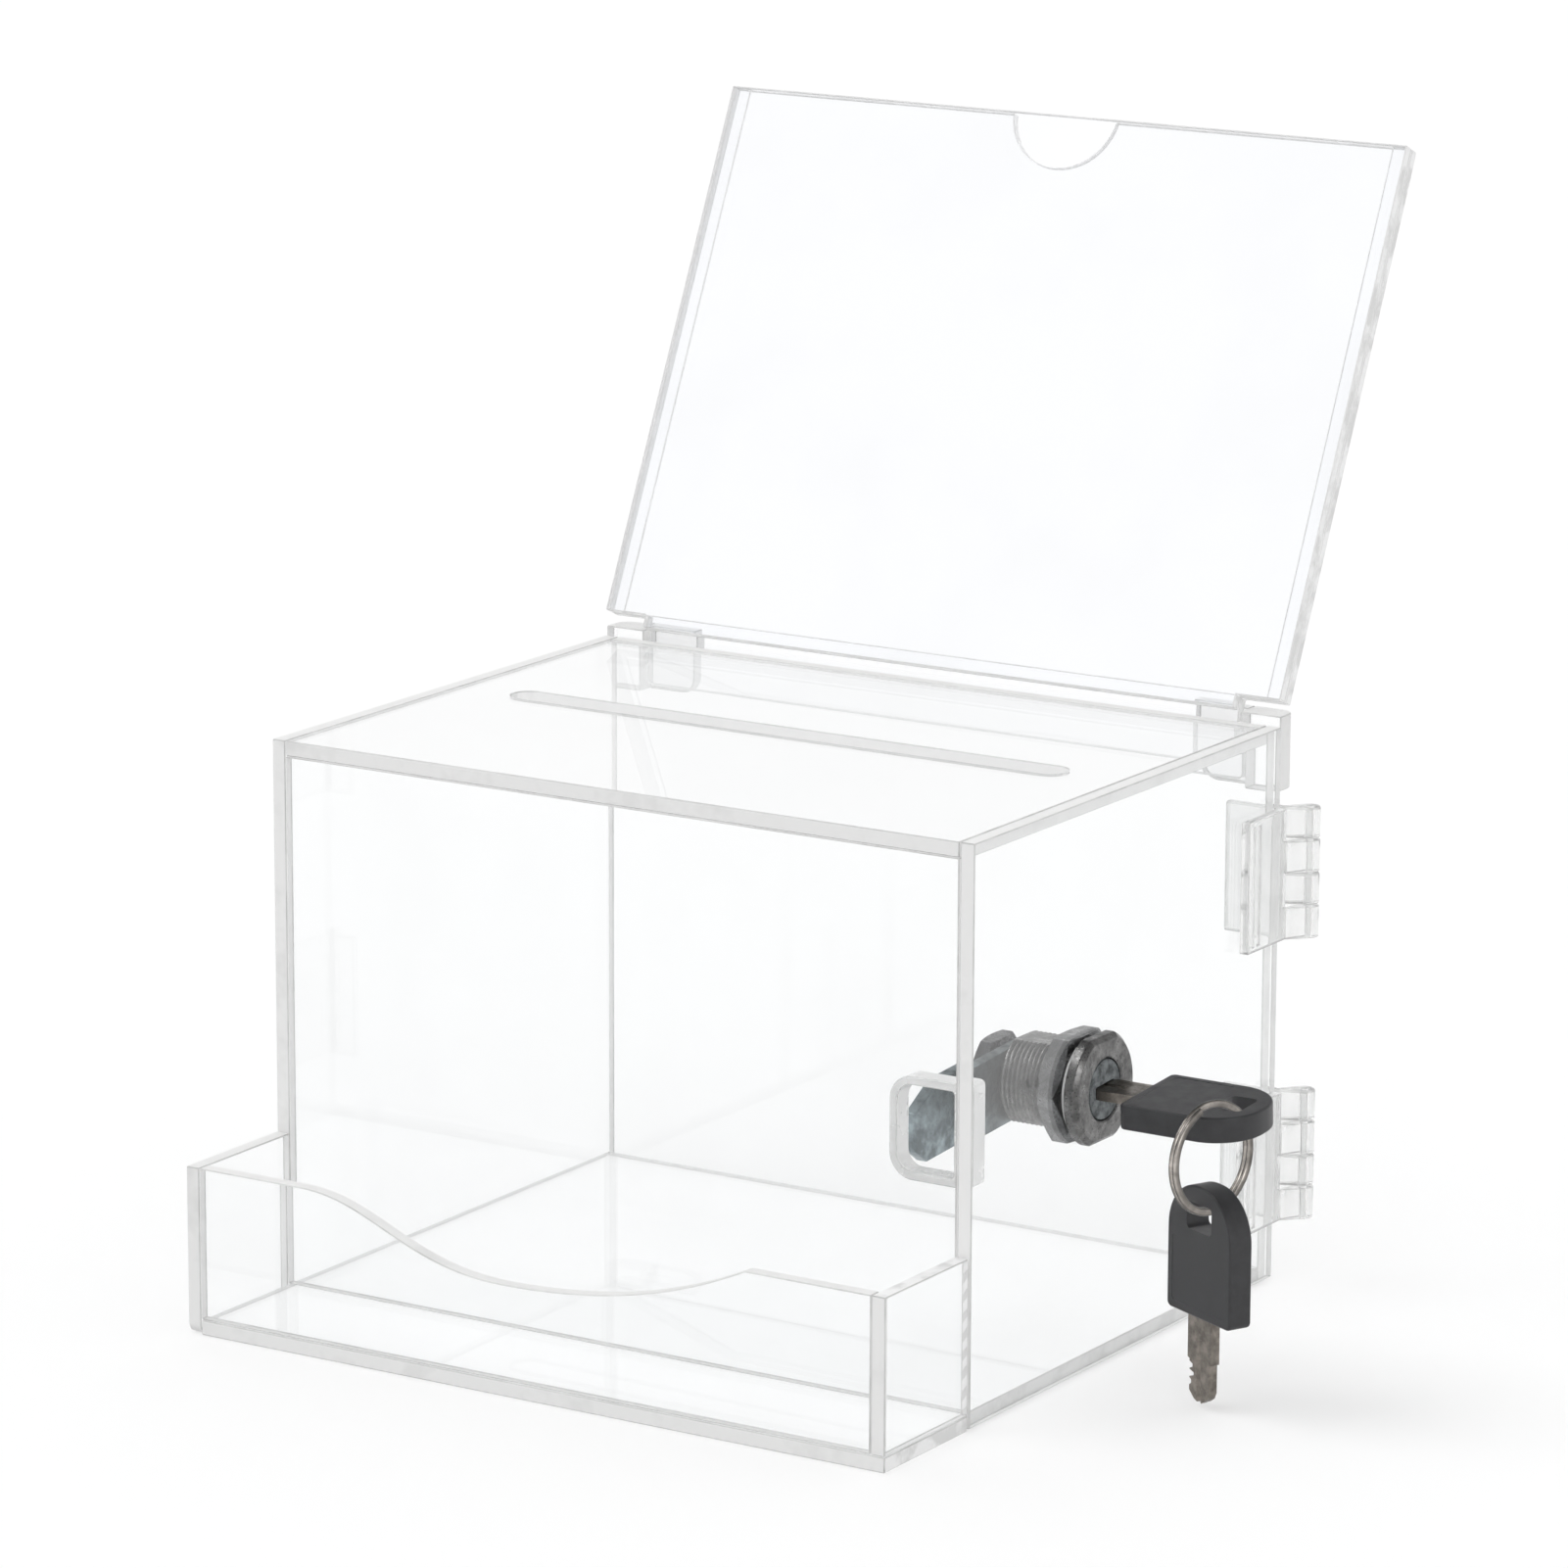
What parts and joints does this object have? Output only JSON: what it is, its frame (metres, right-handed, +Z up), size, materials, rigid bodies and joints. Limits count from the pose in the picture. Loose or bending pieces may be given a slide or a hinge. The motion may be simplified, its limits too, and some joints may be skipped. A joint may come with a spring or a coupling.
{
  "type": "suggestion box",
  "caption": "Clear suggestion box with a letter slot, a card tray in front, a leaning sign holder on top and a side door held by a cam lock with keys on a split ring.",
  "frame": {"origin": "middle of the box's footprint on the underside of its bottom plate, where it stands on a table; the tray in front of the box doesn't count for the middle", "axes": "+X points out of the side door and along the keys, +Y to the back, where the sign leans, +Z up"},
  "size_m": [0.1981, 0.1975, 0.2204],
  "materials": {
    "clear_acrylic": "clear polished acrylic sheet with darker edges",
    "hinge_plastic": "clear moulded plastic",
    "hinge_pin_plastic": "clear plastic rod",
    "lock_zinc": "satin nickel plated die casting",
    "lock_steel": "zinc plated steel, bluish grey",
    "key_plastic": "black moulded plastic",
    "key_steel": "nickel plated steel",
    "ring_nickel": "nickel plated spring wire"
  },
  "bodies": {
    "case": {"bottom_plate": "clear_acrylic", "front_panel": "clear_acrylic", "left_panel": "clear_acrylic", "rear_panel": "clear_acrylic", "top_panel": "clear_acrylic", "tray_front": "clear_acrylic", "tray_left_end": "clear_acrylic", "tray_right_end": "clear_acrylic", "lock_strike": "clear_acrylic", "sign_bracket_block_left": "clear_acrylic", "sign_bracket_block_right": "clear_acrylic", "sign_bracket_plate_left": "clear_acrylic", "sign_bracket_plate_right": "clear_acrylic", "upper_hinge_rear_leaf": "hinge_plastic", "lower_hinge_rear_leaf": "hinge_plastic"},
    "door": {"side_door": "clear_acrylic", "upper_hinge_door_leaf": "hinge_plastic", "lower_hinge_door_leaf": "hinge_plastic", "upper_hinge_pin": "hinge_pin_plastic", "lower_hinge_pin": "hinge_pin_plastic", "lock_housing": "lock_zinc", "lock_nut": "lock_steel"},
    "plug": {"lock_plug": "lock_zinc", "lock_cam": "lock_steel", "cam_washer": "lock_steel", "cam_nut": "lock_steel"},
    "key": {"key_head": "key_plastic", "key_blade": "key_steel"},
    "ring": {"split_ring": "ring_nickel"},
    "spare_key": {"spare_key_head": "key_plastic", "spare_key_blade": "key_steel"},
    "sign": {"sign_front_sheet": "clear_acrylic", "sign_back_sheet": "clear_acrylic", "sign_left_strip": "clear_acrylic", "sign_right_strip": "clear_acrylic", "sign_bottom_strip": "clear_acrylic"}
  },
  "joints": [
    {"name": "door_hinge", "type": "hinge", "parent": "case", "child": "door", "pos_m": [0.0835, 0.0622, 0.056], "axis": [0, 0, 1], "range_deg": [0, 180]},
    {"name": "lock_turn", "type": "hinge", "parent": "door", "child": "plug", "pos_m": [0.082, -0.014, 0.056], "axis": [-1, 0, 0], "range_deg": [0, 90]},
    {"name": "key_slide", "type": "slide", "parent": "plug", "child": "key", "axis": [1, 0, 0], "range_m": [0, 0.014]},
    {"name": "ring_swing", "type": "hinge", "parent": "key", "child": "ring", "pos_m": [0.10877, -0.02067, 0.05814], "axis": [0.225, 0.9744, 0], "range_deg": [-8, 8]},
    {"name": "spare_key_swing", "type": "hinge", "parent": "ring", "child": "spare_key", "pos_m": [0.10877, -0.02067, 0.03815], "axis": [0.225, 0.9744, 0], "range_deg": [-15, 45]},
    {"name": "sign_lift", "type": "slide", "parent": "case", "child": "sign", "axis": [0, 0, 1], "range_m": [0, 0.02]}
  ]
}
